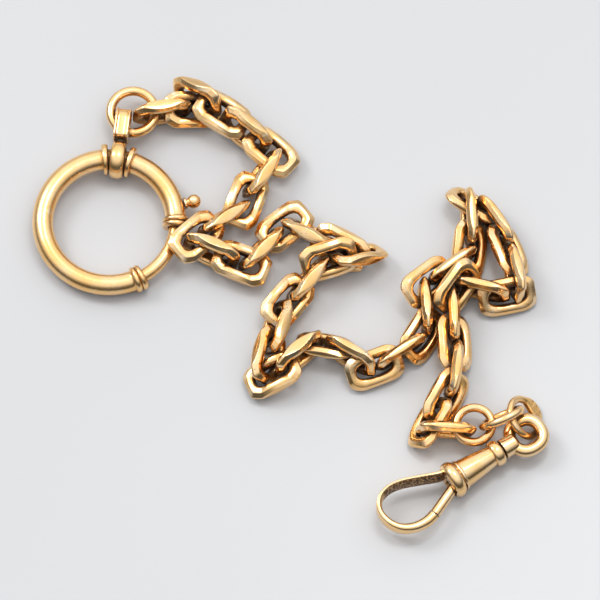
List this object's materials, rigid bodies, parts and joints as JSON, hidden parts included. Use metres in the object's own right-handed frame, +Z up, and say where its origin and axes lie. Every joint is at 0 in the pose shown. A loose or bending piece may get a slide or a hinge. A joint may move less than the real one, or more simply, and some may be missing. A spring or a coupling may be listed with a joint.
{
  "type": "pocket watch chain",
  "caption": "Heavy faceted trace link watch chain with a sprung bolt ring on a swivel bead at one end and a dog clip on a swivel eye at the other",
  "frame": {"origin": "centre of the bounding box at the height of the table the chain lies on", "axes": "+Z up from the table, +X from the bolt ring end towards the dog clip end, +Y away from the clip"},
  "size_m": [0.0852, 0.0806, 0.0077],
  "materials": {
    "link_gold": "worn polished yellow gold, darker in the recesses",
    "wire_gold": "polished yellow gold",
    "bolt_ring_gold": "softly worn polished yellow gold",
    "bolt_gold": "polished yellow gold",
    "clip_gold": "bright polished yellow gold, tarnished inside the hook",
    "spring_steel": "plain drawn wire"
  },
  "bodies": {
    "bolt_ring": {"bolt_ring": "bolt_ring_gold", "bolt_spring": "spring_steel"},
    "bolt": {"bolt": "bolt_gold"},
    "swivel_bead": {"swivel_bead": "bolt_ring_gold"},
    "bail": {"bail": "bolt_ring_gold"},
    "jump_ring": {"jump_ring": "wire_gold"},
    "link_01": {"link_01": "link_gold"},
    "link_02": {"link_02": "link_gold"},
    "link_03": {"link_03": "link_gold"},
    "link_04": {"link_04": "link_gold"},
    "link_05": {"link_05": "link_gold"},
    "link_06": {"link_06": "link_gold"},
    "link_07": {"link_07": "link_gold"},
    "link_08": {"link_08": "link_gold"},
    "link_09": {"link_09": "link_gold"},
    "link_10": {"link_10": "link_gold"},
    "link_11": {"link_11": "link_gold"},
    "link_12": {"link_12": "link_gold"},
    "link_13": {"link_13": "link_gold"},
    "link_14": {"link_14": "link_gold"},
    "link_15": {"link_15": "link_gold"},
    "link_16": {"link_16": "link_gold"},
    "link_17": {"link_17": "link_gold"},
    "link_18": {"link_18": "link_gold"},
    "link_19": {"link_19": "link_gold"},
    "link_20": {"link_20": "link_gold"},
    "link_21": {"link_21": "link_gold"},
    "link_22": {"link_22": "link_gold"},
    "link_23": {"link_23": "link_gold"},
    "link_24": {"link_24": "link_gold"},
    "link_25": {"link_25": "link_gold"},
    "link_26": {"link_26": "link_gold"},
    "link_27": {"link_27": "link_gold"},
    "link_28": {"link_28": "link_gold"},
    "link_29": {"link_29": "link_gold"},
    "link_30": {"link_30": "link_gold"},
    "link_31": {"link_31": "link_gold"},
    "link_32": {"link_32": "link_gold"},
    "link_33": {"link_33": "link_gold"},
    "link_34": {"link_34": "link_gold"},
    "link_35": {"link_35": "link_gold"},
    "link_36": {"link_36": "link_gold"},
    "link_37": {"link_37": "link_gold"},
    "link_38": {"link_38": "link_gold"},
    "link_39": {"link_39": "link_gold"},
    "link_40": {"link_40": "link_gold"},
    "link_41": {"link_41": "link_gold"},
    "link_42": {"link_42": "link_gold"},
    "link_43": {"link_43": "link_gold"},
    "link_44": {"link_44": "link_gold"},
    "link_45": {"link_45": "link_gold"},
    "link_46": {"link_46": "link_gold"},
    "link_47": {"link_47": "link_gold"},
    "end_ring": {"end_ring": "wire_gold"},
    "end_oval": {"end_oval": "wire_gold"},
    "marked_ring": {"marked_ring": "wire_gold"},
    "swivel_eye": {"swivel_eye": "clip_gold"},
    "clip_body": {"clip_body": "clip_gold"},
    "clip_gate": {"clip_gate": "clip_gold"}
  },
  "joints": [
    {"name": "bolt_slide", "type": "hinge", "parent": "bolt_ring", "child": "bolt", "pos_m": [-0.02984, 0.01485, 0.00268], "axis": [-0.0059, -0.0484, 0.9988], "range_deg": [0, 45], "stiffness_Nm_per_rad": 0.004, "springref_deg": -8.59, "deforming": ["bolt_spring"]},
    {"name": "bead_turn", "type": "hinge", "parent": "bolt_ring", "child": "swivel_bead", "pos_m": [-0.0285, 0.02576, 0.00322], "axis": [-0.9925, 0.1219, 0], "range_deg": [-2, 6]},
    {"name": "bail_turn", "type": "hinge", "parent": "swivel_bead", "child": "bail", "pos_m": [-0.02808, 0.02918, 0.00338], "axis": [-0.1217, -0.9914, -0.0488], "range_deg": [0, 30]},
    {"name": "jump_ring_swing", "type": "hinge", "parent": "bail", "child": "jump_ring", "pos_m": [-0.02963, 0.03349, 0.00327], "axis": [0.2321, -0.9716, -0.046], "range_deg": [0, 22]},
    {"name": "link_01_swing", "type": "hinge", "parent": "jump_ring", "child": "link_01", "pos_m": [-0.02508, 0.03359, 0.00366], "axis": [0.0596, 0.0422, 0.9973], "range_deg": [0, 6]},
    {"name": "link_02_swing", "type": "hinge", "parent": "link_01", "child": "link_02", "pos_m": [-0.01993, 0.03467, 0.00341], "axis": [0.0324, -0.952, -0.3045], "range_deg": [0, 6]},
    {"name": "link_03_swing", "type": "hinge", "parent": "link_02", "child": "link_03", "pos_m": [-0.01845, 0.03866, 0.00227], "axis": [-0.1017, 0.5361, 0.838], "range_deg": [0, 2]},
    {"name": "link_04_swing", "type": "hinge", "parent": "link_03", "child": "link_04", "pos_m": [-0.01453, 0.0357, 0.00447], "axis": [-0.5203, -0.8533, 0.0333], "range_deg": [0, 22]},
    {"name": "link_05_swing", "type": "hinge", "parent": "link_04", "child": "link_05", "pos_m": [-0.0104, 0.03321, 0.00404], "axis": [0.3675, 0.2674, 0.8908], "range_deg": [0, 2]},
    {"name": "link_06_swing", "type": "hinge", "parent": "link_05", "child": "link_06", "pos_m": [-0.00615, 0.02991, 0.00329], "axis": [-0.6284, -0.7666, 0.132], "range_deg": [0, 30]},
    {"name": "link_07_swing", "type": "hinge", "parent": "link_06", "child": "link_07", "pos_m": [-0.00253, 0.0268, 0.00306], "axis": [0.335, -0.2148, 0.9174], "range_deg": [0, 8]},
    {"name": "link_08_swing", "type": "hinge", "parent": "link_07", "child": "link_08", "pos_m": [-0.00602, 0.02229, 0.00305], "axis": [-0.9335, 0.3254, 0.1508], "range_deg": [0, 10]},
    {"name": "link_09_swing", "type": "hinge", "parent": "link_08", "child": "link_09", "pos_m": [-0.00785, 0.0177, 0.00273], "axis": [0.3267, -0.2034, 0.923], "range_deg": [0, 12]},
    {"name": "link_10_swing", "type": "hinge", "parent": "link_09", "child": "link_10", "pos_m": [-0.0127, 0.01435, 0.00366], "axis": [0.6594, -0.7142, -0.2347], "range_deg": [0, 4]},
    {"name": "link_11_swing", "type": "hinge", "parent": "link_10", "child": "link_11", "pos_m": [-0.01661, 0.01077, 0.00377], "axis": [-0.2088, -0.2176, -0.9535], "range_deg": [0, 30]},
    {"name": "link_12_swing", "type": "hinge", "parent": "link_11", "child": "link_12", "pos_m": [-0.01168, 0.00886, 0.00313], "axis": [-0.3735, -0.9252, -0.0675], "range_deg": [0, 30]},
    {"name": "link_13_swing", "type": "hinge", "parent": "link_12", "child": "link_13", "pos_m": [-0.00739, 0.00704, 0.00307], "axis": [0.2648, -0.2434, 0.9331], "range_deg": [-3, 14]},
    {"name": "link_14_swing", "type": "hinge", "parent": "link_13", "child": "link_14", "pos_m": [-0.00392, 0.01136, 0.00304], "axis": [0.6298, -0.7736, -0.0698], "range_deg": [0, 6]},
    {"name": "link_15_swing", "type": "hinge", "parent": "link_14", "child": "link_15", "pos_m": [-0.00041, 0.01452, 0.00328], "axis": [-0.1486, -0.4121, 0.8989], "range_deg": [0, 18]},
    {"name": "link_16_swing", "type": "hinge", "parent": "link_15", "child": "link_16", "pos_m": [0.00479, 0.01209, 0.003], "axis": [-0.3991, -0.6686, -0.6275], "range_deg": [0, 14]},
    {"name": "link_17_swing", "type": "hinge", "parent": "link_16", "child": "link_17", "pos_m": [0.01449, 0.00997, 0.00182], "axis": [0.5201, -0.6049, 0.603], "range_deg": [-3, 2]},
    {"name": "link_18_swing", "type": "hinge", "parent": "link_17", "child": "link_18", "pos_m": [0.01016, 0.00875, 0.00446], "axis": [-0.2479, 0.7318, 0.6348], "range_deg": [-2, 4]},
    {"name": "link_19_swing", "type": "hinge", "parent": "link_18", "child": "link_19", "pos_m": [0.00536, 0.00751, 0.00335], "axis": [0.2761, -0.2861, 0.9176], "range_deg": [-4, 14]},
    {"name": "link_20_swing", "type": "hinge", "parent": "link_19", "child": "link_20", "pos_m": [0.00201, 0.00371, 0.00288], "axis": [0.7611, -0.605, -0.2341], "range_deg": [0, 6]},
    {"name": "link_21_swing", "type": "hinge", "parent": "link_20", "child": "link_21", "pos_m": [-0.00122, -0.0001, 0.00283], "axis": [0.5476, -0.1511, 0.823], "range_deg": [0, 8]},
    {"name": "link_22_swing", "type": "hinge", "parent": "link_21", "child": "link_22", "pos_m": [-0.00262, -0.00504, 0.00259], "axis": [0.6789, -0.1584, -0.717], "range_deg": [0, 6]},
    {"name": "link_23_swing", "type": "hinge", "parent": "link_22", "child": "link_23", "pos_m": [-0.0063, -0.01366, 0.00139], "axis": [0.3629, -0.9295, 0.0661], "range_deg": [0, 8]},
    {"name": "link_24_swing", "type": "hinge", "parent": "link_23", "child": "link_24", "pos_m": [-0.00139, -0.01157, 0.00399], "axis": [0.0609, -0.1653, -0.9844], "range_deg": [0, 30]},
    {"name": "link_25_swing", "type": "hinge", "parent": "link_24", "child": "link_25", "pos_m": [0.00189, -0.00626, 0.00237], "axis": [-0.1552, -0.7679, 0.6215], "range_deg": [0, 14]},
    {"name": "link_26_swing", "type": "hinge", "parent": "link_25", "child": "link_26", "pos_m": [0.00671, -0.00705, 0.00289], "axis": [0.008, -0.2184, -0.9758], "range_deg": [0, 30]},
    {"name": "link_27_swing", "type": "hinge", "parent": "link_26", "child": "link_27", "pos_m": [0.0102, -0.01234, 0.00229], "axis": [0.3196, -0.7668, -0.5567], "range_deg": [0, 6]},
    {"name": "link_28_swing", "type": "hinge", "parent": "link_27", "child": "link_28", "pos_m": [0.01498, -0.01062, 0.00323], "axis": [-0.1167, 0.1533, -0.9813], "range_deg": [-6, 14]},
    {"name": "link_29_swing", "type": "hinge", "parent": "link_28", "child": "link_29", "pos_m": [0.01982, -0.00851, 0.00237], "axis": [0.6796, -0.3988, -0.6157], "range_deg": [0, 8]},
    {"name": "link_30_swing", "type": "hinge", "parent": "link_29", "child": "link_30", "pos_m": [0.02253, -0.00447, 0.00348], "axis": [0.1096, 0.0589, 0.9922], "range_deg": [-6, 10]},
    {"name": "link_31_swing", "type": "hinge", "parent": "link_30", "child": "link_31", "pos_m": [0.01979, 0.00111, 0.00438], "axis": [-0.5204, 0.7008, 0.4878], "range_deg": [0, 4]},
    {"name": "link_32_swing", "type": "hinge", "parent": "link_31", "child": "link_32", "pos_m": [0.02361, 0.00451, 0.00323], "axis": [0.0962, -0.1141, 0.9888], "range_deg": [-2, 14]},
    {"name": "link_33_swing", "type": "hinge", "parent": "link_32", "child": "link_33", "pos_m": [0.02915, 0.00613, 0.00206], "axis": [-0.8611, 0.0169, 0.5081], "range_deg": [-2, 8]},
    {"name": "link_34_swing", "type": "hinge", "parent": "link_33", "child": "link_34", "pos_m": [0.02979, 0.01125, 0.0035], "axis": [0.2139, -0.0778, 0.9738], "range_deg": [0, 10]},
    {"name": "link_35_swing", "type": "hinge", "parent": "link_34", "child": "link_35", "pos_m": [0.02702, 0.01992, 0.00258], "axis": [-0.376, -0.6049, 0.702], "range_deg": [0, 4]},
    {"name": "link_36_swing", "type": "hinge", "parent": "link_35", "child": "link_36", "pos_m": [0.03139, 0.0177, 0.00339], "axis": [0.322, 0.1731, 0.9308], "range_deg": [0, 6]},
    {"name": "link_37_swing", "type": "hinge", "parent": "link_36", "child": "link_37", "pos_m": [0.03458, 0.01355, 0.00276], "axis": [-0.7444, -0.2771, 0.6075], "range_deg": [0, 8]},
    {"name": "link_38_swing", "type": "hinge", "parent": "link_37", "child": "link_38", "pos_m": [0.03617, 0.00922, 0.00274], "axis": [0.2162, 0.2313, 0.9485], "range_deg": [0, 12]},
    {"name": "link_39_swing", "type": "hinge", "parent": "link_38", "child": "link_39", "pos_m": [0.03957, 0.00268, 0.00226], "axis": [-0.1478, 0.7795, 0.6088], "range_deg": [-2, 18]},
    {"name": "link_40_swing", "type": "hinge", "parent": "link_39", "child": "link_40", "pos_m": [0.03534, 0.00158, 0.00372], "axis": [-0.0544, 0.0061, 0.9985], "range_deg": [0, 12]},
    {"name": "link_41_swing", "type": "hinge", "parent": "link_40", "child": "link_41", "pos_m": [0.0299, 0.00556, 0.0053], "axis": [0.6173, -0.3267, -0.7157], "range_deg": [-10, 4]},
    {"name": "link_42_swing", "type": "hinge", "parent": "link_41", "child": "link_42", "pos_m": [0.0267, 0.00182, 0.00309], "axis": [0.0812, 0.0481, 0.9955], "range_deg": [-4, 30]},
    {"name": "link_43_swing", "type": "hinge", "parent": "link_42", "child": "link_43", "pos_m": [0.02683, -0.00293, 0.00336], "axis": [-0.8743, -0.0713, 0.4802], "range_deg": [-4, 14]},
    {"name": "link_44_swing", "type": "hinge", "parent": "link_43", "child": "link_44", "pos_m": [0.02724, -0.00791, 0.00297], "axis": [0.2866, 0.0875, 0.954], "range_deg": [-2, 14]},
    {"name": "link_45_swing", "type": "hinge", "parent": "link_44", "child": "link_45", "pos_m": [0.02745, -0.01289, 0.0031], "axis": [-0.716, 0.3023, 0.6292], "range_deg": [-8, 22]},
    {"name": "link_46_swing", "type": "hinge", "parent": "link_45", "child": "link_46", "pos_m": [0.02469, -0.01709, 0.00244], "axis": [-0.6887, 0.3334, -0.6438], "range_deg": [-8, 30]},
    {"name": "link_47_swing", "type": "hinge", "parent": "link_46", "child": "link_47", "pos_m": [0.02175, -0.02235, 0.00431], "axis": [-0.1947, 0.1181, -0.9737], "range_deg": [-2, 30]},
    {"name": "end_ring_swing", "type": "hinge", "parent": "link_47", "child": "end_ring", "pos_m": [0.02836, -0.02361, 0.00283], "axis": [0.7744, -0.6328, -0.0009], "range_deg": [-8, 10]},
    {"name": "end_oval_swing", "type": "hinge", "parent": "end_ring", "child": "end_oval", "pos_m": [0.03164, -0.02152, 0.00316], "axis": [-0.1416, -0.5494, 0.8235], "range_deg": [-10, 30]},
    {"name": "marked_ring_swing", "type": "hinge", "parent": "end_oval", "child": "marked_ring", "pos_m": [0.03617, -0.01958, 0.00527], "axis": [0.0194, 0.9869, -0.1604], "range_deg": [-8, 30]},
    {"name": "swivel_eye_swing", "type": "hinge", "parent": "marked_ring", "child": "swivel_eye", "pos_m": [0.03837, -0.02046, 0.0032], "axis": [-0.975, -0.2223, 0], "range_deg": [0, 14]},
    {"name": "clip_swivel", "type": "hinge", "parent": "swivel_eye", "child": "clip_body", "pos_m": [0.02676, -0.03095, 0.0032], "axis": [-0.8387, -0.5446, 0], "range_deg": [-22, 30]},
    {"name": "gate", "type": "hinge", "parent": "clip_body", "child": "clip_gate", "pos_m": [0.02716, -0.03176, 0.0032], "axis": [0, 0, -1], "range_deg": [0, 22], "stiffness_Nm_per_rad": 0.004, "springref_deg": -8.59}
  ]
}
